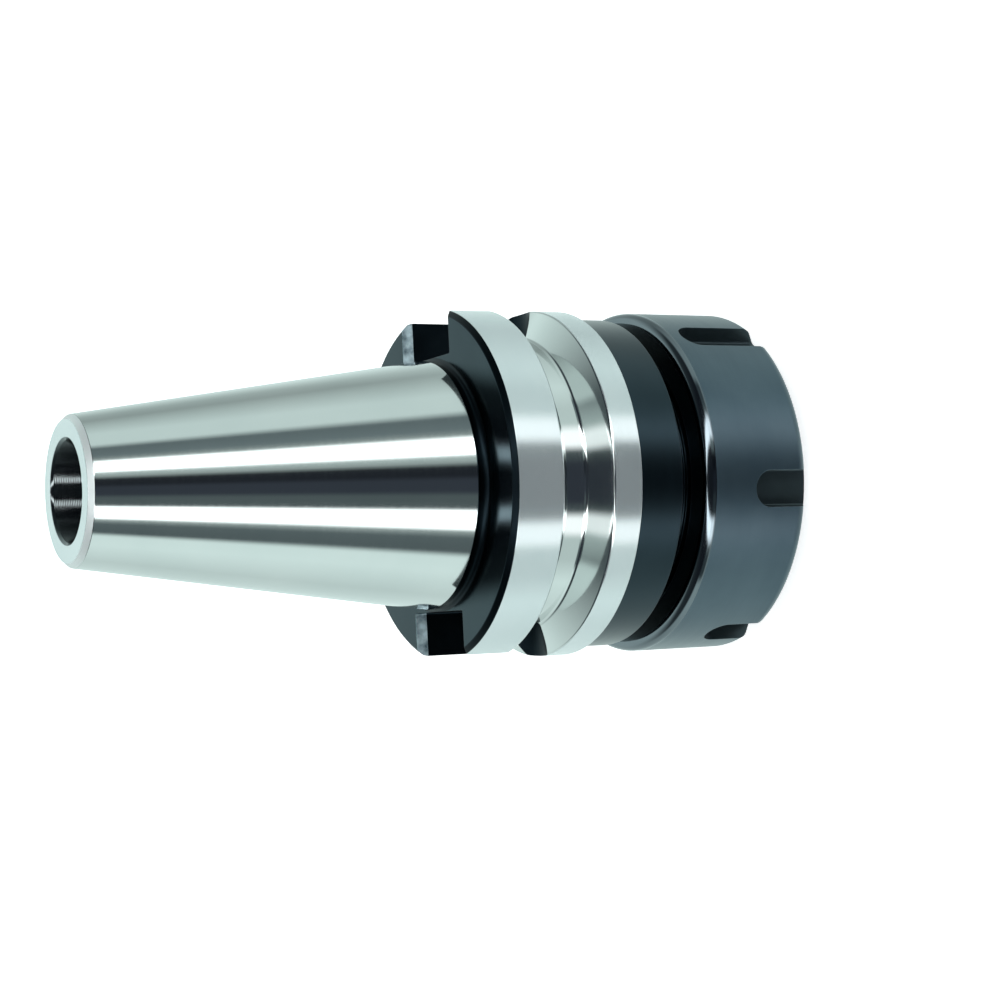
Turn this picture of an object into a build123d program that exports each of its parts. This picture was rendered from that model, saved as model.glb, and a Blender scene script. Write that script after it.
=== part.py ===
from build123d import *
import os
from math import radians, tan

# A collet chuck holder: a holder body with a 7/24 spindle taper, a clamping nut and a spring collet.
# It stands on the front face of its nut, with the spindle taper pointing up along +Z.
# The origin is the centre of the nut's front face, and the drive slots lie on +X and -X.
# Sizes are in millimetres. A name that says where something lies along the axis is a distance
# from the gauge plane, where the taper is at its full diameter: plus is towards the nut.

# Spindle taper
gauge_diameter = 44.45
taper_ratio = 7 / 24
taper_length = 65.4
tail_bevel_depth = 0.35
tail_bevel_length = 1.0

# Bore from the small end: the pull stud's pilot and thread, then a coolant hole
pilot_diameter = 17.0
pilot_depth = 9.0
pilot_chamfer = 0.6
stud_thread_diameter = 16.0
stud_thread_length = 21.0
coolant_diameter = 10.0

# Flange, with the groove that a tool changer grips and two drive slots
flange_diameter = 63.0
flange_face = 2.0
flange_width = 25.0
flange_chamfer = 0.8
neck_depth = 0.3
neck_root_slope = 0.9
groove_centre = 16.6
groove_width = 10.0
groove_depth = 5.0
groove_flank_angle = 30.0
drive_slot_width = 16.1
drive_slot_floor = 22.6
drive_slot_tip = 22.6
drive_slot_chamfer = 1.5

# Collar and threaded nose
collar_diameter = 60.3
collar_length = 9.2
collar_chamfer = 0.5
thread_relief_diameter = 47.0
thread_relief_length = 4.4
nose_diameter = 48.2
nose_length = 8.1

# Collet seat inside the nose
seat_angle = 8.0
seat_mouth_diameter = 40.0
seat_length = 34.0
well_step = 0.5
drill_point_angle = 59.0

# Clamping nut
nut_length = 25.5
nut_gap = 4.1
nut_back_chamfer = 1.3
nut_bevel_length = 5.1
nut_face_diameter = 48.0
nut_thread_diameter = 50.1
nut_thread_length = 12.0
nut_thread_chamfer = 0.9
nut_land = 1.1
spanner_slot_count = 6
spanner_slot_width = 6.6
spanner_slot_depth = 3.3
spanner_slot_length = 15.4
long_slot_length = 21.6
long_slot_number = 5
spanner_slot_turn = 23.0

# Spring collet
collet_length = 46.0
collet_recess = 0.4
collet_cone_angle = 30.0
collet_cone_length = 6.5
collet_rim_diameter = 40.6
collet_rim_width = 0.8
collet_groove_diameter = 36.0
collet_groove_width = 5.0
collet_groove_slope = 1.2
collet_bore_diameter = 20.0
collet_mouth_chamfer = 0.6
collet_slit_count = 8
collet_slit_width = 1.2
front_slit_stop = 6.0
rear_slit_stop = 7.5

# Fits between the pieces
seat_clearance = 0.05
cone_clearance = 0.05
groove_clearance = 0.3
lip_width = 2.5
pocket_clearance = 0.4

# Places and sizes that follow from the ones above: the nut is as wide as the flange, so that the
# whole holder passes through one space in the tool magazine
nut_diameter = flange_diameter
flange_end = flange_face + flange_width
collar_end = flange_end + collar_length
nose_start = collar_end + thread_relief_length
nose_end = nose_start + nose_length
nut_back = collar_end + nut_gap
nut_front = nut_back + nut_length
collet_front = nut_front - collet_recess
collet_tail = collet_front - collet_length
rim_front = collet_front - collet_cone_length
rim_back = rim_front - collet_rim_width
groove_back = rim_back - collet_groove_width
seat_slope = tan(radians(seat_angle))
cone_slope = tan(radians(collet_cone_angle))
overcut = 10.0
touching = 0.001


def section(points):
    """Turn (radius, place along the axis) pairs into sketch points above the nut's front face."""
    return [(radius, nut_front - place) for radius, place in points]


def taper_radius(place):
    """Radius of the spindle taper."""
    return (gauge_diameter + place * taper_ratio) / 2


def seat_radius(place):
    """Radius of the holder's collet seat."""
    return seat_mouth_diameter / 2 - (nose_end - place) * seat_slope


def collet_radius(place):
    """Radius of the collet's long cone, just clear of the seat."""
    return seat_radius(place) - seat_clearance


def front_cone_radius(place):
    """Radius of the collet's short front cone."""
    return collet_rim_diameter / 2 - (place - rim_front) * cone_slope


# Holder body, turned from one bar
groove_root_width = groove_width - 2 * groove_depth * tan(radians(groove_flank_angle))
groove_floor_radius = flange_diameter / 2 - groove_depth
tail = -taper_length
pilot_floor = tail + pilot_depth
stud_thread_floor = pilot_floor + stud_thread_length
seat_end = nose_end - seat_length
well_radius = seat_radius(seat_end) - well_step
well_point = (well_radius - coolant_diameter / 2) / tan(radians(drill_point_angle))
stud_point = (stud_thread_diameter - coolant_diameter) / 2 / tan(radians(drill_point_angle))

taper_outline = [
    (pilot_diameter / 2 + pilot_chamfer, tail),
    (taper_radius(tail + tail_bevel_length) - tail_bevel_depth, tail),
    (taper_radius(tail + tail_bevel_length), tail + tail_bevel_length),
    (gauge_diameter / 2, 0),
    (gauge_diameter / 2 - neck_depth, neck_depth),
    (gauge_diameter / 2 - neck_depth, flange_face - neck_root_slope),
    (gauge_diameter / 2 - neck_depth + neck_root_slope, flange_face),
]
flange_outline = [
    (flange_diameter / 2 - flange_chamfer, flange_face),
    (flange_diameter / 2, flange_face + flange_chamfer),
    (flange_diameter / 2, groove_centre - groove_width / 2),
    (groove_floor_radius, groove_centre - groove_root_width / 2),
    (groove_floor_radius, groove_centre + groove_root_width / 2),
    (flange_diameter / 2, groove_centre + groove_width / 2),
    (flange_diameter / 2, flange_end),
]
nose_outline = [
    (collar_diameter / 2, flange_end),
    (collar_diameter / 2, collar_end - collar_chamfer),
    (collar_diameter / 2 - collar_chamfer, collar_end),
    (thread_relief_diameter / 2, collar_end),
    (thread_relief_diameter / 2, nose_start),
    (nose_diameter / 2, nose_start),
    (nose_diameter / 2, nose_end),
]
seat_outline = [
    (seat_mouth_diameter / 2, nose_end),
    (seat_radius(seat_end), seat_end),
    (well_radius, seat_end),
    (coolant_diameter / 2, seat_end - well_point),
]
stud_bore_outline = [
    (coolant_diameter / 2, stud_thread_floor + stud_point),
    (stud_thread_diameter / 2, stud_thread_floor),
    (stud_thread_diameter / 2, pilot_floor),
    (pilot_diameter / 2, pilot_floor),
    (pilot_diameter / 2, tail + pilot_chamfer),
]

with BuildPart() as holder_body:
    with BuildSketch(Plane.XZ):
        with BuildLine():
            Polyline(
                section(taper_outline + flange_outline + nose_outline + seat_outline + stud_bore_outline),
                close=True,
            )
        make_face()
    revolve(axis=Axis.Z)

    # Two drive slots, milled in from the sides, run out through the flange face
    slot_centre = drive_slot_tip - drive_slot_width / 2
    for side in (1, -1):
        with BuildSketch(Plane.YZ.offset(side * drive_slot_floor)):
            with Locations((0, nut_front - slot_centre)):
                Circle(drive_slot_width / 2)
                Rectangle(
                    drive_slot_width,
                    slot_centre - flange_face + overcut,
                    align=(Align.CENTER, Align.MIN),
                )
        extrude(amount=side * (flange_diameter / 2 - drive_slot_floor + overcut), mode=Mode.SUBTRACT)

    # The slots' edges are broken where the spindle's drive keys enter
    face_height = nut_front - flange_face
    top_edges = holder_body.edges().filter_by(Axis.X).filter_by_position(
        Axis.Z, face_height - touching, face_height + touching
    )
    entry_edges = top_edges.filter_by(lambda edge: abs(edge.center().X) > drive_slot_floor)
    chamfer(entry_edges, length=drive_slot_chamfer)
holder_body.part.label = "holder_body"


# Clamping nut: a turned ring with a thread, an extraction lip and a front cone, and milled slots
bevel_start = nut_front - nut_bevel_length
nut_thread_end = nut_back + nut_thread_length
cone_mouth_radius = collet_rim_diameter / 2 + cone_clearance
cone_front = nut_front - nut_land
opening_radius = cone_mouth_radius - (cone_front - rim_front) * cone_slope
lip_front = rim_back - groove_clearance
lip_back = lip_front - lip_width
lip_inner = collet_groove_diameter / 2 + groove_clearance
lip_offset = (collet_rim_diameter / 2 - lip_inner + pocket_clearance) / 2
lip_radius = lip_inner + lip_offset
pocket_radius = lip_inner + 2 * lip_offset + pocket_clearance

nut_outline = [
    (nut_thread_diameter / 2 + nut_thread_chamfer, nut_back),
    (nut_diameter / 2 - nut_back_chamfer, nut_back),
    (nut_diameter / 2, nut_back + nut_back_chamfer),
    (nut_diameter / 2, bevel_start),
    (nut_face_diameter / 2, nut_front),
    (opening_radius, nut_front),
    (opening_radius, cone_front),
    (cone_mouth_radius, rim_front),
    (pocket_radius, rim_front),
    (pocket_radius, lip_front),
    (lip_inner - lip_offset, lip_front),
    (lip_inner - lip_offset, lip_back),
    (pocket_radius, lip_back),
    (pocket_radius, nut_thread_end),
    (nut_thread_diameter / 2, nut_thread_end),
    (nut_thread_diameter / 2, nut_back + nut_thread_chamfer),
]

with BuildPart() as clamping_nut:
    with BuildSketch(Plane.XZ):
        with BuildLine():
            Polyline(section(nut_outline), close=True)
        make_face()
    revolve(axis=Axis.Z)

    # The lip is bored off centre, so that the collet's groove can be tilted over it
    with Locations((lip_offset, 0, nut_front - (lip_front + lip_back) / 2)):
        Cylinder(lip_radius, lip_width + groove_clearance, mode=Mode.SUBTRACT)

    # Spanner slots run out through the bevel and end in a half circle, and one is longer
    for number in range(spanner_slot_count):
        slot_length = long_slot_length if number == long_slot_number else spanner_slot_length
        slot_straight = slot_length - spanner_slot_width / 2
        angle = spanner_slot_turn + number * 360 / spanner_slot_count
        outward = Vector(1, 0, 0).rotate(Axis.Z, angle)
        floor = Plane(
            origin=outward * (nut_diameter / 2 - spanner_slot_depth),
            x_dir=Vector(0, 1, 0).rotate(Axis.Z, angle),
            z_dir=outward,
        )
        with BuildSketch(floor):
            with Locations((0, slot_straight)):
                Circle(spanner_slot_width / 2)
                Rectangle(
                    spanner_slot_width,
                    slot_straight + overcut,
                    align=(Align.CENTER, Align.MAX),
                )
        extrude(amount=spanner_slot_depth + overcut, mode=Mode.SUBTRACT)
clamping_nut.part.label = "clamping_nut"


# Spring collet: a long cone, an extraction groove and a short front cone, slit from both ends in turn
collet_reach = seat_mouth_diameter / 2 + overcut
collet_outline = [
    (collet_bore_diameter / 2, collet_tail),
    (collet_radius(collet_tail), collet_tail),
    (collet_radius(groove_back - collet_groove_slope), groove_back - collet_groove_slope),
    (collet_groove_diameter / 2, groove_back),
    (collet_groove_diameter / 2, rim_back),
    (collet_rim_diameter / 2, rim_back),
    (collet_rim_diameter / 2, rim_front),
    (front_cone_radius(collet_front), collet_front),
    (collet_bore_diameter / 2 + collet_mouth_chamfer, collet_front),
    (collet_bore_diameter / 2, collet_front - collet_mouth_chamfer),
]

with BuildPart() as collet:
    with BuildSketch(Plane.XZ):
        with BuildLine():
            Polyline(section(collet_outline), close=True)
        make_face()
    revolve(axis=Axis.Z)

    # Slits from the front stop short of the tail
    with Locations((0, 0, nut_front - collet_tail - front_slit_stop)):
        with PolarLocations(0, collet_slit_count):
            Box(
                collet_reach,
                collet_slit_width,
                collet_length + overcut,
                align=(Align.MIN, Align.CENTER, Align.MAX),
                mode=Mode.SUBTRACT,
            )

    # Slits from the tail lie between them and stop short of the front
    with Locations((0, 0, nut_front - collet_front + rear_slit_stop)):
        with PolarLocations(0, collet_slit_count, start_angle=180 / collet_slit_count):
            Box(
                collet_reach,
                collet_slit_width,
                collet_length + overcut,
                align=(Align.MIN, Align.CENTER, Align.MIN),
                mode=Mode.SUBTRACT,
            )
collet.part.label = "collet"


os.makedirs("parts", exist_ok=True)
export_step(holder_body.part, "parts/holder_body.step")
export_step(clamping_nut.part, "parts/clamping_nut.step")
export_step(collet.part, "parts/collet.step")
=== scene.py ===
# %% [markdown]
# A collet chuck holder
#
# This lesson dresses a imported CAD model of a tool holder: a steel body with a steep spindle taper,
# a clamping nut, and a slit spring collet inside. All three are turned on a lathe and then milled,
# so the lesson does the same: it spins an outline once round the axis, and then cuts the slots.
# The threads, which the CAD model leaves plain, are wound on afterwards.

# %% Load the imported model
import bmesh
import bpy
from math import cos, hypot, pi, radians, sin, tan
from mathutils import Matrix, Vector


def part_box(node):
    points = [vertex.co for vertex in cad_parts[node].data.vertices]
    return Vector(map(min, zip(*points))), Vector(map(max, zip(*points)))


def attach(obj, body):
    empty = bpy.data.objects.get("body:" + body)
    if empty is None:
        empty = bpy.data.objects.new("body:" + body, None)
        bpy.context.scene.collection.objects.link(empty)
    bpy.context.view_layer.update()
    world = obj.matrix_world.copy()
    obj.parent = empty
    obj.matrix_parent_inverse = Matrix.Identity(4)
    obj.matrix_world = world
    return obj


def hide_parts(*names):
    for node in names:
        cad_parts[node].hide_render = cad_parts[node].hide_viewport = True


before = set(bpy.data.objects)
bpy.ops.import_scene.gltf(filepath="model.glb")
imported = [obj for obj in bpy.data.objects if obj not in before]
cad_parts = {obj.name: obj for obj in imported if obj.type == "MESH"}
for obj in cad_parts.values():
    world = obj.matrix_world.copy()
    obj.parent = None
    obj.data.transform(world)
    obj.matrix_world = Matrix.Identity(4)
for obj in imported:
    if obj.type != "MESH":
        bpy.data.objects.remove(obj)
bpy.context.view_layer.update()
print("CAD nodes:", sorted(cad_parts))

# %% [markdown]
# Places along the axis
#
# Machinists measure such a holder from its gauge plane, where the taper is 44.45 mm across. The
# lesson does too: a place is a distance in millimetres from that plane, plus towards the nut. The
# model stands on the nut's front face with the taper up, so a place turns into a height like this.

# %% Places and heights
MM = 0.001
NUT_FRONT = 65.8
SMALL_END = -65.4


def height(place):
    """Height above the floor, in metres, of a place along the axis."""
    return (NUT_FRONT - place) * MM


print("gauge plane at", height(0), "m, small end at", round(height(SMALL_END), 4), "m")

# %% [markdown]
# The camera
#
# The photograph was taken from about 40 cm away, looking down on the small end of the taper at
# about 28 degrees, and with the camera turned so that the spindle axis runs across the picture.
# Three axes describe that: one towards the camera round the holder, one that is up in the picture,
# and the spindle axis. The camera's own right, up and back follow from them, and its place is
# given in millimetres: how far out it stands, how far aside, and at which place along the axis.

# %% Camera
FACING = radians(-93.9)
TILT = radians(27.7)
ROLL = radians(-1.113)
CAMERA_OUT = 364.49
CAMERA_ASIDE = -2.824
CAMERA_PLACE = -175.70
towards = Vector((cos(FACING), sin(FACING), 0))
upwards = Vector((-sin(FACING), cos(FACING), 0))
spindle = Vector((0, 0, 1))

right = sin(ROLL) * upwards + sin(TILT) * cos(ROLL) * towards - cos(TILT) * cos(ROLL) * spindle
up = cos(ROLL) * upwards - sin(TILT) * sin(ROLL) * towards + cos(TILT) * sin(ROLL) * spindle
back = cos(TILT) * towards + sin(TILT) * spindle

lens = bpy.data.cameras.new("photo_camera")
lens.lens = 81.466
lens.sensor_width = 36
lens.sensor_height = 36
lens.sensor_fit = "HORIZONTAL"
lens.clip_start = 0.01
lens.clip_end = 20
camera = bpy.data.objects.new("photo_camera", lens)
bpy.context.scene.collection.objects.link(camera)
camera.matrix_world = Matrix((right, up, back)).transposed().to_4x4()
camera.location = (
    CAMERA_OUT * MM * towards + CAMERA_ASIDE * MM * upwards + height(CAMERA_PLACE) * spindle
)
bpy.context.scene.camera = camera
bpy.context.scene.view_settings.view_transform = "Standard"
print("camera at", [round(value, 4) for value in camera.location])

# %% [markdown]
# Building shaders in code
#
# A shader is a graph of nodes. Three small helpers keep the cells below readable: one adds a node
# with its options and values, one runs a wire between two sockets, and one starts a node group.


# %% Node helpers
def add(tree, kind, values=None, **options):
    """Add a node to a tree, with its options and the values of its inputs."""
    made = tree.nodes.new(kind)
    for name, value in options.items():
        setattr(made, name, value)
    for name, value in (values or {}).items():
        made.inputs[name].default_value = value
    return made


def wire(tree, source, target):
    """Join an output socket to an input socket."""
    tree.links.new(source, target)


def new_group(name, inputs, outputs):
    """Start a shader node group with named sockets, and return it with its two end nodes."""
    group = bpy.data.node_groups.new(name, "ShaderNodeTree")
    for label, value in inputs.items():
        socket = group.interface.new_socket(
            name=label, in_out="INPUT", socket_type="NodeSocketFloat",
        )
        socket.default_value = value
    for label, kind in outputs.items():
        group.interface.new_socket(name=label, in_out="OUTPUT", socket_type=kind)
    return group, add(group, "NodeGroupInput"), add(group, "NodeGroupOutput")


# %% [markdown]
# Turning lines
#
# A lathe or a cylindrical grinder leaves fine rings round the axis. They could be modelled, but
# they are only microns deep, so a noise stretched round the axis does it better. The group reads
# Object coordinates and adds part of the radius to the height: that way the rings show on flat
# end faces too, where the height doesn't change. A second, slow noise gives broad patches.

# %% Turning lines group
turning_lines, start, end = new_group(
    "turning_lines",
    {"Lines per metre": 3000.0, "Run-out": 25.0, "Patch size": 60.0},
    {"Lines": "NodeSocketFloat", "Patches": "NodeSocketFloat"},
)
place = add(turning_lines, "ShaderNodeTexCoord")
axes = add(turning_lines, "ShaderNodeSeparateXYZ")
wire(turning_lines, place.outputs["Object"], axes.inputs["Vector"])
flat = add(turning_lines, "ShaderNodeCombineXYZ")
wire(turning_lines, axes.outputs["X"], flat.inputs["X"])
wire(turning_lines, axes.outputs["Y"], flat.inputs["Y"])
radius = add(turning_lines, "ShaderNodeVectorMath", operation="LENGTH")
wire(turning_lines, flat.outputs["Vector"], radius.inputs[0])
along = add(turning_lines, "ShaderNodeMath", {1: 0.7}, operation="MULTIPLY_ADD")
wire(turning_lines, radius.outputs["Value"], along.inputs[0])
wire(turning_lines, axes.outputs["Z"], along.inputs[2])
rings = add(turning_lines, "ShaderNodeMath", operation="MULTIPLY")
wire(turning_lines, along.outputs["Value"], rings.inputs[0])
wire(turning_lines, start.outputs["Lines per metre"], rings.inputs[1])
slow = add(turning_lines, "ShaderNodeVectorMath", operation="SCALE")
wire(turning_lines, flat.outputs["Vector"], slow.inputs[0])
wire(turning_lines, start.outputs["Run-out"], slow.inputs["Scale"])
ring_height = add(turning_lines, "ShaderNodeCombineXYZ")
wire(turning_lines, rings.outputs["Value"], ring_height.inputs["Z"])
stretched = add(turning_lines, "ShaderNodeVectorMath", operation="ADD")
wire(turning_lines, slow.outputs["Vector"], stretched.inputs[0])
wire(turning_lines, ring_height.outputs["Vector"], stretched.inputs[1])
fine = add(turning_lines, "ShaderNodeTexNoise", {"Scale": 1.0, "Detail": 4.0, "Roughness": 0.65})
wire(turning_lines, stretched.outputs["Vector"], fine.inputs["Vector"])
wire(turning_lines, fine.outputs["Fac"], end.inputs["Lines"])
broad = add(turning_lines, "ShaderNodeTexNoise", {"Detail": 3.0, "Roughness": 0.55})
wire(turning_lines, place.outputs["Object"], broad.inputs["Vector"])
wire(turning_lines, start.outputs["Patch size"], broad.inputs["Scale"])
wire(turning_lines, broad.outputs["Fac"], end.inputs["Patches"])
print("turning lines group:", len(turning_lines.nodes), "nodes")

# %% [markdown]
# Worn and softened edges
#
# Real edges are never quite sharp: handling rounds them and rubs the black finish off. The Bevel
# node gives the direction that a surface would have if its edges were rounded. Where that
# direction leaves the flat surface's own, the point lies near an edge, and the difference makes a
# mask. A noise breaks the mask up, so that the wear isn't a neat line.

# %% Edge wear group
edge_wear, start, end = new_group(
    "edge_wear",
    {"Width": 0.0004, "Amount": 1.0},
    {"Mask": "NodeSocketFloat", "Soft normal": "NodeSocketVector"},
)
rounded = add(edge_wear, "ShaderNodeBevel", samples=6)
wire(edge_wear, start.outputs["Width"], rounded.inputs["Radius"])
surface = add(edge_wear, "ShaderNodeNewGeometry")
agreement = add(edge_wear, "ShaderNodeVectorMath", operation="DOT_PRODUCT")
wire(edge_wear, rounded.outputs["Normal"], agreement.inputs[0])
wire(edge_wear, surface.outputs["Normal"], agreement.inputs[1])
nearness = add(edge_wear, "ShaderNodeMapRange", {"From Min": 0.999, "From Max": 0.9}, clamp=True)
wire(edge_wear, agreement.outputs["Value"], nearness.inputs["Value"])
place = add(edge_wear, "ShaderNodeTexCoord")
chips = add(edge_wear, "ShaderNodeTexNoise", {"Scale": 420.0, "Detail": 4.0, "Roughness": 0.7})
wire(edge_wear, place.outputs["Object"], chips.inputs["Vector"])
broken = add(edge_wear, "ShaderNodeMapRange", {"From Min": 0.3, "From Max": 0.62}, clamp=True)
wire(edge_wear, chips.outputs["Fac"], broken.inputs["Value"])
worn = add(edge_wear, "ShaderNodeMath", operation="MULTIPLY")
wire(edge_wear, nearness.outputs["Result"], worn.inputs[0])
wire(edge_wear, broken.outputs["Result"], worn.inputs[1])
amount = add(edge_wear, "ShaderNodeMath", operation="MULTIPLY", use_clamp=True)
wire(edge_wear, worn.outputs["Value"], amount.inputs[0])
wire(edge_wear, start.outputs["Amount"], amount.inputs[1])
wire(edge_wear, amount.outputs["Value"], end.inputs["Mask"])
wire(edge_wear, rounded.outputs["Normal"], end.inputs["Soft normal"])
print("edge wear group:", len(edge_wear.nodes), "nodes")

# %% [markdown]
# A recipe for machined metal
#
# All the finishes on this holder are steel, bright or blackened, so one recipe serves: a base
# colour that drifts between two tones, a roughness that follows the turning lines, a third tone
# where an edge is rubbed, and a faint bump. Each finish gives the recipe its own values. The
# values that are the same all over are set on the Principled BSDF itself. Two of them are worth a
# word: a metallic value under one keeps the little light that a brushed surface scatters, and the
# coat is the film of oil that blackened steel is sold with.


# %% Machined metal recipe
OIL_ROUGHNESS = 0.3
NOISE_LOW, NOISE_HIGH = 0.3, 0.7


def machined(name, tones, roughness, lines, wear, bump, patches=60, metallic=1.0, oil=0.0):
    """Make a machined steel from three tones, a roughness range, and values for lines and wear."""
    material = bpy.data.materials.new(name)
    material.use_nodes = True
    tree = material.node_tree
    shader = tree.nodes["Principled BSDF"]
    shader.inputs["Metallic"].default_value = metallic
    shader.inputs["Coat Weight"].default_value = oil
    shader.inputs["Coat Roughness"].default_value = OIL_ROUGHNESS
    grain = add(tree, "ShaderNodeGroup", node_tree=turning_lines)
    grain.inputs["Lines per metre"].default_value = lines[0]
    grain.inputs["Run-out"].default_value = lines[1]
    grain.inputs["Patch size"].default_value = patches
    edges = add(tree, "ShaderNodeGroup", node_tree=edge_wear)
    edges.inputs["Width"].default_value = wear[0]
    edges.inputs["Amount"].default_value = wear[1]

    drift = add(tree, "ShaderNodeMix", data_type="RGBA")
    drift.inputs["A"].default_value = (*tones[0], 1)
    drift.inputs["B"].default_value = (*tones[1], 1)
    drift_range = add(tree, "ShaderNodeMapRange", {"From Min": NOISE_LOW, "From Max": NOISE_HIGH})
    wire(tree, grain.outputs["Patches"], drift_range.inputs["Value"])
    wire(tree, drift_range.outputs["Result"], drift.inputs["Factor"])
    rubbed = add(tree, "ShaderNodeMix", data_type="RGBA")
    rubbed.inputs["B"].default_value = (*tones[2], 1)
    wire(tree, drift.outputs["Result"], rubbed.inputs["A"])
    wire(tree, edges.outputs["Mask"], rubbed.inputs["Factor"])
    wire(tree, rubbed.outputs["Result"], shader.inputs["Base Color"])

    gloss = add(tree, "ShaderNodeMapRange", {"From Min": NOISE_LOW, "From Max": NOISE_HIGH})
    gloss.inputs["To Min"].default_value = roughness[0]
    gloss.inputs["To Max"].default_value = roughness[1]
    wire(tree, grain.outputs["Lines"], gloss.inputs["Value"])
    wire(tree, gloss.outputs["Result"], shader.inputs["Roughness"])

    ridges = add(tree, "ShaderNodeBump", {"Strength": bump[0], "Distance": bump[1]})
    wire(tree, grain.outputs["Lines"], ridges.inputs["Height"])
    wire(tree, edges.outputs["Soft normal"], ridges.inputs["Normal"])
    wire(tree, ridges.outputs["Normal"], shader.inputs["Normal"])
    return material


# %% [markdown]
# The finishes
#
# The taper and the groove are ground bright after the body is hardened and blackened, and the end
# face and the two rims are brushed, which leaves them a little paler. The chamfer of the small end
# is only turned, so it is matt. The bore is darker, but smooth enough to throw back streaks.

# %% Ground and turned finishes of the holder
ground_steel = machined(
    "ground_steel",
    tones=((0.74, 0.77, 0.765), (0.79, 0.81, 0.805), (0.84, 0.85, 0.85)),
    roughness=(0.07, 0.11),
    lines=(2600, 30),
    wear=(0.0001, 0.4),
    bump=(0.03, 0.00002),
)
ground_rim = machined(
    "ground_rim",
    tones=((0.69, 0.75, 0.765), (0.75, 0.80, 0.815), (0.82, 0.86, 0.87)),
    roughness=(0.12, 0.17),
    lines=(2000, 30),
    wear=(0.00012, 0.4),
    bump=(0.04, 0.00002),
    metallic=0.75,
)
turned_edge = machined(
    "turned_edge",
    tones=((0.80, 0.84, 0.84), (0.85, 0.88, 0.88), (0.88, 0.9, 0.9)),
    roughness=(0.42, 0.52),
    lines=(2000, 30),
    wear=(0.00008, 0.3),
    bump=(0.05, 0.00002),
    metallic=0.6,
)
bore_steel = machined(
    "bore_steel",
    tones=((0.13, 0.145, 0.15), (0.18, 0.195, 0.2), (0.4, 0.42, 0.43)),
    roughness=(0.08, 0.13),
    lines=(2500, 30),
    wear=(0.0001, 0.4),
    bump=(0.03, 0.00002),
)
print("ground or turned:", ground_steel.name, ground_rim.name, turned_edge.name, bore_steel.name)

# %% [markdown]
# The black finishes
#
# The black oxide stays in the neck and on the collar. The flange face is smoother, so it shows two
# spots of light. The milled drive slots are duller, and their walls, the neck between the taper and
# the flange and the flange's chamfer are painted a darker black as shade. The slots' entry chamfers
# have been rubbed pale by the drive keys: there the patches are small and the tones lie far apart.

# %% Black finishes of the holder
black_oxide = machined(
    "black_oxide",
    tones=((0.008, 0.025, 0.037), (0.015, 0.035, 0.049), (0.09, 0.12, 0.14)),
    roughness=(0.28, 0.33),
    lines=(2200, 40),
    wear=(0.00012, 0.4),
    bump=(0.03, 0.00003),
    oil=0.5,
)
black_face = machined(
    "black_face",
    tones=((0.016, 0.034, 0.045), (0.024, 0.045, 0.057), (0.1, 0.13, 0.145)),
    roughness=(0.17, 0.21),
    lines=(2200, 40),
    wear=(0.00012, 0.3),
    bump=(0.02, 0.00002),
)
# Painted shade: a darker black for the drive slots' walls, the neck between taper and flange, and
# the flange's chamfer
dull_black_painted_shade = machined(
    "dull_black_painted_shade",
    tones=((0.008, 0.013, 0.017), (0.014, 0.022, 0.028), (0.08, 0.1, 0.11)),
    roughness=(0.3, 0.36),
    lines=(500, 400),
    wear=(0.00012, 0.4),
    bump=(0.03, 0.00003),
)
rubbed_black = machined(
    "rubbed_black",
    tones=((0.06, 0.09, 0.11), (0.45, 0.56, 0.6), (0.5, 0.6, 0.64)),
    roughness=(0.28, 0.4),
    lines=(900, 300),
    wear=(0.0003, 0.6),
    bump=(0.15, 0.00004),
    patches=520,
)

# %% [markdown]
# Finishes of the nut and the collet
#
# The nut is a satin slate colour, with a polished back corner that takes the streaks of light. Its
# spanner slots are painted a darker tone as shade. The collet is ground all over.

# %% Finishes of the nut and the collet
nut_satin = machined(
    "nut_satin",
    tones=((0.066, 0.108, 0.142), (0.095, 0.143, 0.18), (0.3, 0.36, 0.4)),
    roughness=(0.39, 0.46),
    lines=(1800, 60),
    wear=(0.0002, 0.5),
    bump=(0.06, 0.00003),
    oil=0.6,
)
# Painted shade: the spanner slots get a darker tone than the nut's wall
nut_slot_painted_shade = machined(
    "nut_slot_painted_shade",
    tones=((0.03, 0.045, 0.05), (0.045, 0.065, 0.075), (0.15, 0.18, 0.2)),
    roughness=(0.3, 0.36),
    lines=(500, 400),
    wear=(0.00012, 0.4),
    bump=(0.03, 0.00003),
    metallic=0.65,
)
nut_corner = machined(
    "nut_corner",
    tones=((0.17, 0.2, 0.225), (0.21, 0.24, 0.265), (0.35, 0.4, 0.43)),
    roughness=(0.09, 0.12),
    lines=(1800, 30),
    wear=(0.0001, 0.2),
    bump=(0.03, 0.00002),
)
collet_bright = machined(
    "collet_bright",
    tones=((0.62, 0.64, 0.64), (0.70, 0.72, 0.72), (0.8, 0.81, 0.81)),
    roughness=(0.12, 0.2),
    lines=(3000, 30),
    wear=(0.0001, 0.4),
    bump=(0.04, 0.00002),
    metallic=0.7,
)
print("materials in all, with those of the CAD nodes:", len(bpy.data.materials))

# %% [markdown]
# Turning a piece
#
# On a lathe a tool follows an outline while the bar spins. Here the outline is one flat face, so
# that each corner can be rounded with a vertex bevel before anything is spun: a bevel on a few
# dozen corners is far quicker and cleaner than one on thousands of edges. The face is then taken
# away, its edges are spun a full turn, and the seam is merged. Which finish a face gets depends on
# its radius and its place, so each piece has a small rule for that. The limits in a rule lie just
# off the outline's corners, because a face is judged by its middle.


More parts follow.
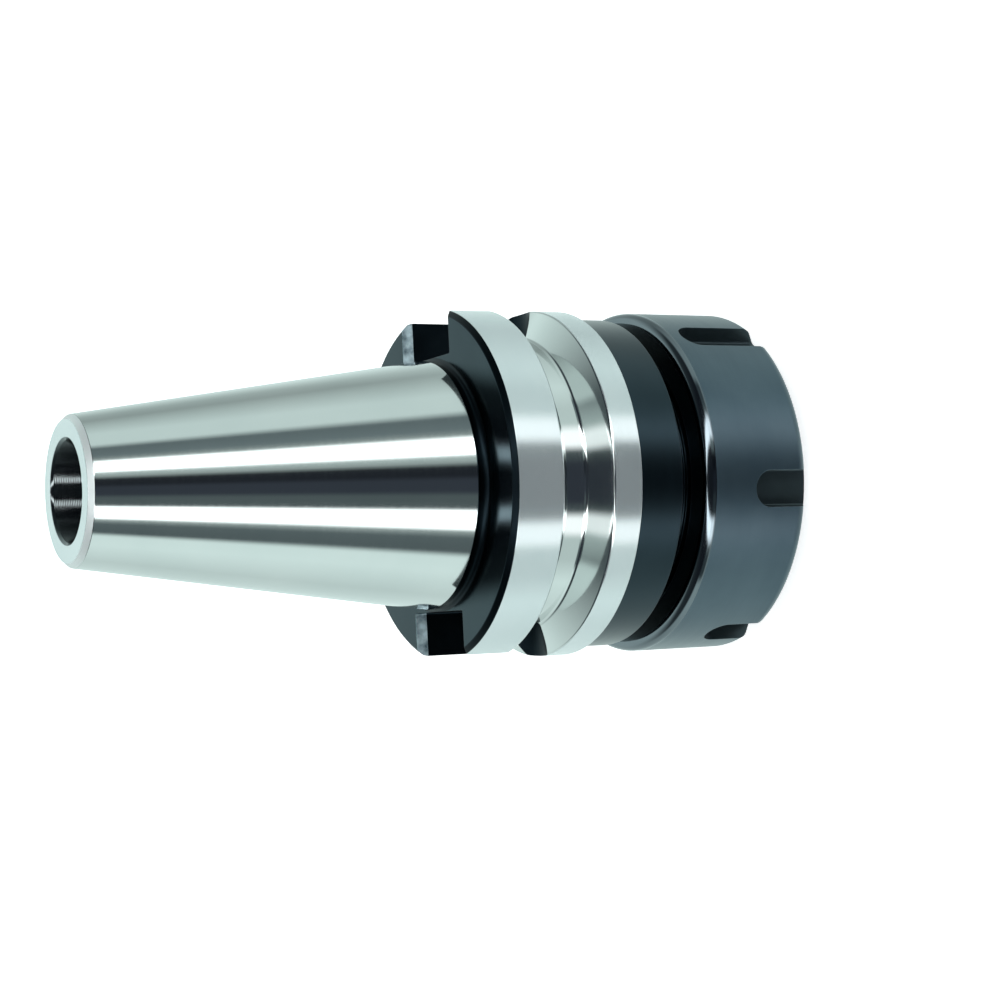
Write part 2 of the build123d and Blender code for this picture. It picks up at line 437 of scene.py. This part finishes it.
# %% Turning helper
def turned(outline, steps=256):
    """Spin an outline of (radius, place, rounding) corners, in millimetres, into a closed ring."""
    shape = bmesh.new()
    corners = [shape.verts.new((radius * MM, 0, height(place))) for radius, place, _ in outline]
    shape.faces.new(corners)
    for corner, (_, _, rounding) in zip(corners, outline):
        if rounding:
            bmesh.ops.bevel(
                shape, geom=[corner], offset=rounding * MM, offset_type="OFFSET", affect="VERTICES",
                segments=8 if rounding > 0.5 else 4, profile=0.5, material=-1,
            )
    bmesh.ops.delete(shape, geom=shape.faces[:], context="FACES_ONLY")
    bmesh.ops.spin(
        shape, geom=shape.verts[:] + shape.edges[:], cent=(0, 0, 0), axis=(0, 0, 1), dvec=(0, 0, 0),
        angle=2 * pi, steps=steps, use_merge=True,
    )
    bmesh.ops.remove_doubles(shape, verts=shape.verts[:], dist=0.001 * MM)
    bmesh.ops.recalc_face_normals(shape, faces=shape.faces[:])
    return shape


def finish_faces(shape, finish_at):
    """Give each face the finish that a rule names for its radius and place, in millimetres."""
    for face in shape.faces:
        middle = face.calc_center_median()
        face.material_index = finish_at(hypot(middle.x, middle.y) / MM, NUT_FRONT - middle.z / MM)


def as_piece(shape, name, finishes):
    """Make an object of a bmesh, with its finishes as material slots."""
    mesh = bpy.data.meshes.new(name)
    shape.to_mesh(mesh)
    shape.free()
    for finish in finishes:
        mesh.materials.append(finish)
    piece = bpy.data.objects.new(name, mesh)
    bpy.context.scene.collection.objects.link(piece)
    return piece


# %% [markdown]
# Milling a piece
#
# The slots are milled after turning, so they are cut out of the turned shape with a Boolean. All
# the cutters of a piece are one object, which makes it a single cut. A cutter's faces carry the
# finish that the milled walls get, and a chamfer at the mouth can have one of its own. Afterwards
# edges sharper than 35 degrees are marked, the rest is shaded smooth, and Weighted Normal keeps
# the big faces flat.


# %% Milling helpers
def mill(piece, cutter_shape):
    """Cut a bmesh of closed cutters out of a piece, and keep the result as its mesh."""
    cutter = as_piece(cutter_shape, piece.name + "_cutter", piece.data.materials[:])
    cut = piece.modifiers.new("mill", "BOOLEAN")
    cut.operation = "DIFFERENCE"
    cut.solver = "EXACT"
    cut.material_mode = "INDEX"
    cut.object = cutter
    graph = bpy.context.evaluated_depsgraph_get()
    milled = bpy.data.meshes.new_from_object(piece.evaluated_get(graph))
    piece.modifiers.clear()
    piece.data = milled
    bpy.data.objects.remove(cutter)


def finish_shading(piece, sharp_angle=35):
    """Shade a piece smooth, with its sharper edges kept sharp."""
    shape = bmesh.new()
    shape.from_mesh(piece.data)
    for face in shape.faces:
        face.smooth = True
    for edge in shape.edges:
        edge.smooth = len(edge.link_faces) == 2 and edge.calc_face_angle() < radians(sharp_angle)
    shape.to_mesh(piece.data)
    shape.free()
    weighted = piece.modifiers.new("even_shading", "WEIGHTED_NORMAL")
    weighted.keep_sharp = True
    triangles = sum(len(polygon.vertices) - 2 for polygon in piece.data.polygons)
    print(piece.name, "has", triangles, "triangles")


def add_slot(cutters, angle, floor, reach, width, centre, mouth, flare, corner, walls, chamfer):
    """Add a cutter for a slot with one round end, on the side of the piece at the given angle.

    The slot's floor and the cutter's reach are radii, and the round end's centre and the mouth are
    places. The mouth is widened by the flare, and the last two values are the finishes.
    """
    half = width / 2 * MM
    opens = 1 if mouth < centre else -1
    beyond = 4 * MM
    widened = half + flare * MM + beyond if flare else half
    older = set(cutters.verts)
    older_faces = set(cutters.faces)

    # The outline lies on the slot's floor: a point spun half a turn, then the walls and the mouth
    first = cutters.verts.new((floor * MM, -half, height(centre)))
    arc = bmesh.ops.spin(
        cutters, geom=[first], cent=(floor * MM, 0, height(centre)), axis=(1, 0, 0),
        dvec=(0, 0, 0), angle=opens * pi, steps=32, use_merge=False,
    )
    wall_top = height(mouth) - opens * flare * MM
    outside = height(mouth) + opens * beyond
    mouth_outline = ((half, wall_top), (widened, outside), (-widened, outside), (-half, wall_top))
    corners = [cutters.verts.new((floor * MM, side, level)) for side, level in mouth_outline]
    for one, other in zip(arc["geom_last"] + corners, corners + [first]):
        cutters.edges.new((one, other))
    outline = [edge for edge in cutters.edges if edge.verts[0] not in older]
    floor_face = bmesh.ops.contextual_create(cutters, geom=outline)["faces"][0]
    floor_edges = floor_face.edges[:]

    # The outline is extruded outwards, the floor's corners are rounded, and the cutter is turned
    pushed = bmesh.ops.extrude_face_region(cutters, geom=[floor_face], use_keep_orig=True)["geom"]
    outer = [part for part in pushed if isinstance(part, bmesh.types.BMVert)]
    bmesh.ops.translate(cutters, verts=outer, vec=((reach - floor) * MM, 0, 0))
    bmesh.ops.bevel(
        cutters, geom=floor_edges, offset=corner * MM, offset_type="OFFSET", affect="EDGES",
        segments=3, profile=0.5, material=-1,
    )
    cutter = [vert for vert in cutters.verts if vert not in older]
    turn = Matrix.Rotation(radians(angle), 3, "Z")
    bmesh.ops.rotate(cutters, verts=cutter, cent=(0, 0, 0), matrix=turn)
    for face in cutters.faces:
        if face not in older_faces:
            above_walls = (face.calc_center_median().z - wall_top) * opens > 0
            face.material_index = chamfer if above_walls else walls


# %% [markdown]
# Checking a cutter
#
# A Boolean needs closed cutters whose faces all point outwards. The normals are worked out again
# once all cutters of a piece are in, and any open edge would show in the count.


# %% Cutter check
def close_cutters(cutters):
    """Turn all faces outwards and say how many edges are open."""
    bmesh.ops.remove_doubles(cutters, verts=cutters.verts[:], dist=0.0001 * MM)
    bmesh.ops.recalc_face_normals(cutters, faces=cutters.faces[:])
    print("open edges in the cutters:", sum(not edge.is_manifold for edge in cutters.edges))


# %% [markdown]
# The holder body
#
# One bar of steel is turned to the 7/24 taper, the flange with its gripper groove, the collar and
# the threaded nose. Inside are the collet's seat, a drilled coolant hole, and a threaded bore with
# a wider pilot at the small end. The outline below goes down the outside and comes back up the
# bore. The third number of each corner is its rounding: large in the neck and the groove's corners,
# where the photograph shows a line of light, and a mere tenth where a tool has only broken the
# edge. The pilot was bored with a fast feed, and its fine tool marks are real grooves here, because
# they throw two streaks of light back out of the bore.

# %% Holder body
TAPER_RATIO = 7 / 24
GAUGE_DIAMETER = 44.45
NOSE_END = 48.7
SEAT_MOUTH = 20.0
SEAT_END = 14.7
SEAT_SLOPE = tan(radians(8))
MARK_PITCH = 0.15
MARK_DEPTH = 0.1
GROUND, BLACK, BORE, RIM, RUBBED, DULL_PAINTED_SHADE, FACE, EDGE = range(8)


def taper_radius(place):
    """Radius of the spindle taper, in millimetres."""
    return (GAUGE_DIAMETER + place * TAPER_RATIO) / 2


def seat_radius(place):
    """Radius of the collet's seat, in millimetres."""
    return SEAT_MOUTH - (NOSE_END - place) * SEAT_SLOPE


def holder_finish(radius, place):
    """Finish of the turned body at a radius and a place."""
    if radius < 9 and place < 8.8:
        return BORE
    if place < SMALL_END + 0.1:
        return RIM
    if place < SMALL_END + 0.95 and radius > 10:
        return EDGE
    if place < 0.05:
        return GROUND
    if place < 2.85:
        # Painted shade: the neck and the flange's chamfer get the darker black
        return FACE if 22.8 < radius < 30.6 else DULL_PAINTED_SHADE
    if radius > 31.4 and place < 26.8:
        return RIM
    in_groove = 11 < place < 22 and radius > 26.3
    in_seat = place > 14.7 and radius < 20.1
    return GROUND if in_groove or in_seat else BLACK


tool_marks = [
    (8.5 + MARK_DEPTH * (mark % 2), -56.4 - MARK_PITCH * mark, 0) for mark in range(56)
]
holder_outline = [
    (9.1, SMALL_END, 0.12),
    (taper_radius(-64.4) - 0.9, SMALL_END, 0.1),
    (taper_radius(-64.4), -64.4, 0.1),
    (taper_radius(0), 0, 0.1),
    (21.925, 0.3, 0.1),
    (21.925, 2.0, 0.9),
    (30.7, 2.0, 0.15),
    (31.5, 2.8, 0.15),
    (31.5, 11.6, 0.3),
    (26.5, 14.487, 0.5),
    (26.5, 18.713, 0.5),
    (31.5, 21.6, 0.3),
    (31.5, 27.0, 0.25),
    (30.15, 27.0, 0.25),
    (30.15, 36.2, 0.5),
    (23.5, 36.2, 0.6),
    (23.5, 40.6, 0.2),
    (24.1, 40.6, 0.1),
    (24.1, NOSE_END, 0.2),
    (SEAT_MOUTH, NOSE_END, 0.2),
    (seat_radius(SEAT_END), SEAT_END, 0),
    (seat_radius(SEAT_END) - 0.5, SEAT_END, 0.1),
    (5.0, 8.858, 0.3),
    (5.0, -33.597, 0.2),
    (8.0, -35.4, 0.1),
    (8.0, -56.4, 0.15),
    *tool_marks,
    (8.5, -64.8, 0.1),
]

shape = turned(holder_outline)
finish_faces(shape, holder_finish)
holder = as_piece(
    shape, "turned_body",
    [
        ground_steel, black_oxide, bore_steel, ground_rim,
        rubbed_black, dull_black_painted_shade, black_face, turned_edge,
    ],
)
print("holder outline:", len(holder_outline), "corners")

# %% [markdown]
# The drive slots
#
# Two keys on the machine's spindle drive the holder through these slots. A shaped cutter mills
# them in from the side, which leaves a half round end that runs into the groove, and both edges
# are chamfered where the key enters.

# %% Drive slots
slots = bmesh.new()
for angle in (0, 180):
    # Painted shade: the drive slots' walls get the darker black
    add_slot(
        slots, angle, floor=22.6, reach=36, width=16.1, centre=14.55, mouth=2.0, flare=1.5,
        corner=0.3, walls=DULL_PAINTED_SHADE, chamfer=RUBBED,
    )
close_cutters(slots)
mill(holder, slots)
finish_shading(holder)

# %% [markdown]
# The clamping nut
#
# The nut is as wide as the flange. Its back corner is well rounded and its front runs down in a
# cone to the face. Inside are the thread, a pocket, the lip that pulls the collet out, and the
# short cone that closes it. The lip is bored off centre, so a collet can be tilted over it.

# %% Nut
CONE_SLOPE = tan(radians(30))
SATIN, INNER, CORNER, SLOT_PAINTED_SHADE = range(4)


def nut_finish(radius, place):
    """Finish of the turned nut at a radius and a place."""
    if radius > 29.6 and place < 42.2:
        return CORNER
    inside = radius < 25.9 and place < 64.8
    # Painted shade: the back face, in the gap by the collar, gets the darker black oxide of the
    # inside
    return INNER if inside or place < 40.5 else SATIN


nut_outline = [
    (25.95, 40.3, 0.15),
    (31.5, 40.3, 1.8),
    (31.5, 60.7, 1.2),
    (24.0, 65.8, 0.6),
    (17.0, 65.8, 0.2),
    (17.0, 58.9 + 3.35 / CONE_SLOPE, 0.1),
    (20.35, 58.9, 0.05),
    (21.1, 58.9, 0.05),
    (21.1, 57.8, 0),
    (17.1, 57.8, 0),
    (17.1, 55.3, 0),
    (21.1, 55.3, 0),
    (21.1, 52.3, 0.1),
    (25.05, 52.3, 0.1),
    (25.05, 41.2, 0.1),
]
shape = turned(nut_outline)
finish_faces(shape, nut_finish)
nut = as_piece(shape, "turned_nut", [nut_satin, black_oxide, nut_corner, nut_slot_painted_shade])
print("nut outline:", len(nut_outline), "corners")

# %% [markdown]
# The spanner slots
#
# A hook spanner grips the nut in six slots, milled in from the front with a round end mill. The
# photograph shows that one of them runs further back than the others. The same cutter shape as
# for the drive slots serves here, turned round so that it opens downwards and without a flare. The
# lip's bore is a plain cylinder that stands a little off the axis.

# %% Spanner slots and the lip's bore
LIP_RADIUS = 19.5
LIP_OFF_CENTRE = 1.2
slots = bmesh.new()
# Painted shade: the spanner slots' walls and chamfers get the darker slot tone
for number in range(6):
    add_slot(
        slots, 23 + 60 * number, floor=28.2, reach=36, width=6.6,
        centre=47.5 if number == 5 else 53.7, mouth=NUT_FRONT, flare=0, corner=0.4,
        walls=SLOT_PAINTED_SHADE, chamfer=SLOT_PAINTED_SHADE,
    )
lip = bmesh.ops.create_cone(
    slots, cap_ends=True, segments=192, radius1=LIP_RADIUS * MM, radius2=LIP_RADIUS * MM,
    depth=3.3 * MM, matrix=Matrix.Translation((LIP_OFF_CENTRE * MM, 0, height(56.55))),
)
for face in {face for vert in lip["verts"] for face in vert.link_faces}:
    face.material_index = INNER
close_cutters(slots)
mill(nut, slots)
finish_shading(nut)

# %% [markdown]
# The collet
#
# A spring collet is a sleeve with a long cone that fits the holder and a short cone that the nut
# presses on. Eight slits run in from each end in turn, so it closes evenly on a tool's shank. The
# slits are thin boxes that start just inside the bore, so that no two of them cross.

# %% Collet
SEAT_PLAY = 0.05
collet_outline = [
    (10.0, 19.4, 0.3),
    (seat_radius(19.4) - SEAT_PLAY, 19.4, 0.4),
    (seat_radius(51.9) - SEAT_PLAY, 51.9, 0.1),
    (18.0, 53.1, 0.2),
    (18.0, 58.1, 0.2),
    (20.3, 58.1, 0.1),
    (20.3, 58.9, 0.1),
    (20.3 - 6.5 * CONE_SLOPE, 65.4, 0.3),
    (10.0, 65.4, 0.6),
]
SLITS = 16
SLIT_WIDTH = 1.2
SLIT_FROM, SLIT_TO = 9.0, 22.5
collet = as_piece(turned(collet_outline, steps=192), "slit_collet", [collet_bright])
slits = bmesh.new()
for number in range(SLITS):
    front, rear = (70.0, 25.4) if number % 2 == 0 else (57.9, 15.0)
    middle = Vector(((SLIT_FROM + SLIT_TO) / 2 * MM, 0, (height(front) + height(rear)) / 2))
    size = Vector(((SLIT_TO - SLIT_FROM) * MM, SLIT_WIDTH * MM, (front - rear) * MM))
    turn = Matrix.Rotation(radians(360 / SLITS * number), 4, "Z")
    bmesh.ops.create_cube(slits, size=1, matrix=turn @ Matrix.LocRotScale(middle, None, size))
close_cutters(slits)
mill(collet, slits)
finish_shading(collet)

# %% [markdown]
# The threads
#
# In the CAD model the threads are plain cylinders. Here each one gets its ridge: a small trapezium
# is spun round the axis and raised by one pitch a turn, anticlockwise and upwards, which makes a
# right-hand thread. The nut's ridge starts half a pitch off the nose's, so the two interleave, and
# since the nut drops by one pitch a turn they stay clear of each other as it unscrews.


# %% Thread helper
STEPS_A_TURN = 72


def thread(name, root, crest, bottom, turns, pitch, body, finish):
    """Wind a ridge from a place upwards, between a root and a crest radius, all in millimetres."""
    shape = bmesh.new()
    profile = [
        (root, -0.42 * pitch),
        (crest, -0.07 * pitch),
        (crest, 0.07 * pitch),
        (root, 0.42 * pitch),
    ]
    corners = [
        shape.verts.new((radius * MM, 0, height(bottom) + rise * MM)) for radius, rise in profile
    ]
    loop = [shape.edges.new(pair) for pair in zip(corners, corners[1:] + corners[:1])]
    steps = round(turns * STEPS_A_TURN)
    bmesh.ops.spin(
        shape, geom=corners + loop, cent=(0, 0, 0), axis=(0, 0, 1),
        dvec=(0, 0, pitch * MM / STEPS_A_TURN), angle=radians(360 / STEPS_A_TURN) * steps,
        steps=steps, use_merge=False,
    )
    bmesh.ops.holes_fill(shape, edges=shape.edges[:], sides=4)
    bmesh.ops.recalc_face_normals(shape, faces=shape.faces[:])
    piece = as_piece(shape, name, [finish])
    finish_shading(piece, sharp_angle=30)
    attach(piece, body)
    return piece


# %% Threads
NUT_PITCH = 1.5
STUD_PITCH = 2.0
nose_thread = thread(
    "nose_thread", root=24.05, crest=24.95, bottom=48.0, turns=4.4, pitch=NUT_PITCH,
    body="holder", finish=black_oxide,
)
nut_thread = thread(
    "nut_thread", root=25.1, crest=24.2, bottom=51.35, turns=6.2, pitch=NUT_PITCH,
    body="nut", finish=black_oxide,
)
stud_thread = thread(
    "stud_thread", root=8.05, crest=6.95, bottom=-36.4, turns=9.4, pitch=STUD_PITCH,
    body="holder", finish=bore_steel,
)

# %% [markdown]
# Standing in for the CAD nodes
#
# Each turned piece has the form of one CAD node, with finer facets and small roundings. It rides
# on the same body, so it moves with the same joint, and the coarse node is hidden.

# %% Bodies and nodes
for piece, body, node, slot in (
    (holder, "holder", "holder_body", "holder_steel"),
    (nut, "nut", "clamping_nut", "nut_steel"),
    (collet, "collet", "collet", "collet_steel"),
):
    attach(piece, body)
    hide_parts(node)
    low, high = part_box(node)
    print(node, "CAD size in mm:", [round(size / MM, 2) for size in high - low])

# %% [markdown]
# The floor
#
# The photograph has a pure white ground. The floor is a pale matt plane that takes the holder's
# soft shadow, and what the camera sees of it is lifted to white with a little emission. It is
# hidden from reflections, because polished steel that stands on it would mirror nothing else. Its
# back is clear, so the nut's face can be looked at from below, and it lies a tenth of a
# millimetre low, so the two faces don't share a plane.

# %% Floor
FLOOR_DROP = 0.1 * MM
FLOOR_LIFT = 0.7
shape = bmesh.new()
bmesh.ops.create_grid(
    shape, x_segments=1, y_segments=1, size=4, matrix=Matrix.Translation((0, 0, -FLOOR_DROP)),
)
floor_material = bpy.data.materials.new("pale_floor")
floor_material.use_nodes = True
tree = floor_material.node_tree
paint = tree.nodes["Principled BSDF"]
paint.inputs["Base Color"].default_value = (0.9, 0.9, 0.9, 1)
paint.inputs["Roughness"].default_value = 1
paint.inputs["Emission Color"].default_value = (1, 1, 1, 1)
side = add(tree, "ShaderNodeNewGeometry")
from_above = add(tree, "ShaderNodeMath", {0: 1.0}, operation="SUBTRACT")
wire(tree, side.outputs["Backfacing"], from_above.inputs[1])
wire(tree, from_above.outputs["Value"], paint.inputs["Alpha"])
seen = add(tree, "ShaderNodeLightPath")
lift = add(tree, "ShaderNodeMath", {1: FLOOR_LIFT}, operation="MULTIPLY")
wire(tree, seen.outputs["Is Camera Ray"], lift.inputs[0])
wire(tree, lift.outputs["Value"], paint.inputs["Emission Strength"])
ground = as_piece(shape, "pale_floor", [floor_material])
ground.visible_glossy = False
print("floor is", round(ground.dimensions.x, 1), "m across")

# %% [markdown]
# The studio
#
# Polished metal looks like what stands round it. The bands on the taper, read from the middle
# outwards, are a dark gap where the camera stands, a bright panel on each side of it, a narrow dark
# edge, and then a pale room. The world is painted that way: its direction is turned into an angle
# from the camera's side, and a colour ramp gives the brightness there. The taper mirrors what
# stands about level with it, the upright walls what lies lower, and the roundings, the flat faces
# and the bore what hangs higher. So there are three ramps, mixed by height. Darker levels are
# bluer, as they are in the photograph. The camera itself sees plain white.

# %% Studio world
PANEL = 3.5
SHADE = (0.8, 1, 1.3)
DUSK = (0.76, 1, 1.04)
WALL = (0.82, 1, 0.97)
LIGHT = (0.94, 1, 1)
ROOM_ABOVE = [
    (-180, 0.95), (-145, 0.90), (-110, 0.10), (-60, 0.03), (-40, 0.03), (-36, 4.5), (-26, 4.5),
    (-22, 0.03), (22, 0.03), (27, 4), (37, 4), (41, 0.03), (60, 0.03), (110, 0.10), (145, 0.90),
    (180, 0.95),
]
ROOM_ROUND_THE_TAPER = [
    (-180, 0.90), (-150, 0.80), (-120, 0.72), (-84, 0.92), (-68, 0.90), (-62, 0.12), (-48, 0.14),
    (-42, 0.4), (-36, PANEL), (-26, PANEL), (-21, 0.11), (-10, 0.11), (-6, 0.045), (4, 0.045),
    (8, 0.02), (16, 0.02), (20, 0.42), (25, 0.55), (29, PANEL), (38, PANEL), (44, 0.34), (50, 0.20),
    (62, 0.16), (69, 0.76), (88, 0.76), (120, 0.39), (134, 0.47), (156, 0.77), (180, 0.90),
]
ROOM_BELOW = [
    (-180, 0.95), (-110, 0.80), (-84, 0.92), (-62, 0.66), (-44, 0.66), (-38, 1.3), (-28, 1.3),
    (-22, 0.10), (-14, 0.04), (14, 0.04), (24, 0.10), (30, 1.35), (40, 1.35), (47, 0.70),
    (60, 0.68), (80, 0.84), (118, 0.64), (150, 0.85), (180, 0.95),
]


def tinted(level):
    """Colour of a brightness level in the studio."""
    tint = SHADE if level < 0.05 else DUSK if level < 0.3 else WALL if level < 1 else LIGHT
    return (level * tint[0], level * tint[1], level * tint[2], 1)


def studio_ramp(tree, share, levels):
    """Colour of a ramp over the angle from the camera's side, given in degrees."""
    ramp = add(tree, "ShaderNodeValToRGB")
    stops = ramp.color_ramp.elements
    for angle, _ in levels[1:-1]:
        stops.new((angle + 180) / 360)
    for stop, (_, level) in zip(stops, levels):
        stop.color = tinted(level)
    wire(tree, share, ramp.inputs["Fac"])
    return ramp.outputs["Color"]


world = bpy.data.worlds.new("studio")
bpy.context.scene.world = world
world.use_nodes = True
tree = world.node_tree
sky = tree.nodes["Background"]
look = add(tree, "ShaderNodeTexCoord")
turned_look = add(tree, "ShaderNodeVectorRotate", {"Angle": -FACING}, rotation_type="Z_AXIS")
wire(tree, look.outputs["Generated"], turned_look.inputs["Vector"])
parts = add(tree, "ShaderNodeSeparateXYZ")
wire(tree, turned_look.outputs["Vector"], parts.inputs["Vector"])
angle = add(tree, "ShaderNodeMath", operation="ARCTAN2")
wire(tree, parts.outputs["Y"], angle.inputs[0])
wire(tree, parts.outputs["X"], angle.inputs[1])
share = add(tree, "ShaderNodeMapRange", {"From Min": -pi, "From Max": pi})
wire(tree, angle.outputs["Value"], share.inputs["Value"])
room = studio_ramp(tree, share.outputs["Result"], ROOM_ROUND_THE_TAPER)
for levels, near, far in ((ROOM_BELOW, -0.28, -0.42), (ROOM_ABOVE, 0.12, 0.3)):
    reach = add(tree, "ShaderNodeMapRange", {"From Min": near, "From Max": far}, clamp=True)
    wire(tree, parts.outputs["Z"], reach.inputs["Value"])
    bands = add(tree, "ShaderNodeMix", data_type="RGBA")
    wire(tree, reach.outputs["Result"], bands.inputs["Factor"])
    wire(tree, room, bands.inputs["A"])
    wire(tree, studio_ramp(tree, share.outputs["Result"], levels), bands.inputs["B"])
    room = bands.outputs["Result"]
seen = add(tree, "ShaderNodeLightPath")
shown = add(tree, "ShaderNodeMix", {"B": (1, 1, 1, 1)}, data_type="RGBA")
wire(tree, seen.outputs["Is Camera Ray"], shown.inputs["Factor"])
wire(tree, room, shown.inputs["A"])
wire(tree, shown.outputs["Result"], sky.inputs["Color"])
print("world ramps:", len(ROOM_ABOVE), len(ROOM_ROUND_THE_TAPER), len(ROOM_BELOW), "stops")

# %% [markdown]
# Lamps
#
# Two large soft lamps lift the matt and blackened faces and give the floor its shadow. They are
# kept out of reflections, because the world's panels already stand there.


# %% Lamps
MIDDLE = Vector((0, 0, 0.065))


def soft_lamp(name, place, size, power):
    """Add a square lamp that points at the middle of the holder."""
    light = bpy.data.lights.new(name, "AREA")
    light.size = size
    light.energy = power
    lamp = bpy.data.objects.new(name, light)
    bpy.context.scene.collection.objects.link(lamp)
    lamp.location = place
    lamp.rotation_euler = (MIDDLE - place).to_track_quat("-Z", "Y").to_euler()
    lamp.visible_glossy = False
    print(name, "at", [round(value, 2) for value in place])


soft_lamp("key_lamp", 0.7 * towards + 0.5 * upwards + 0.8 * spindle, size=0.8, power=4)
soft_lamp("fill_lamp", 0.6 * towards - 0.8 * upwards + 0.6 * spindle, size=0.9, power=3)
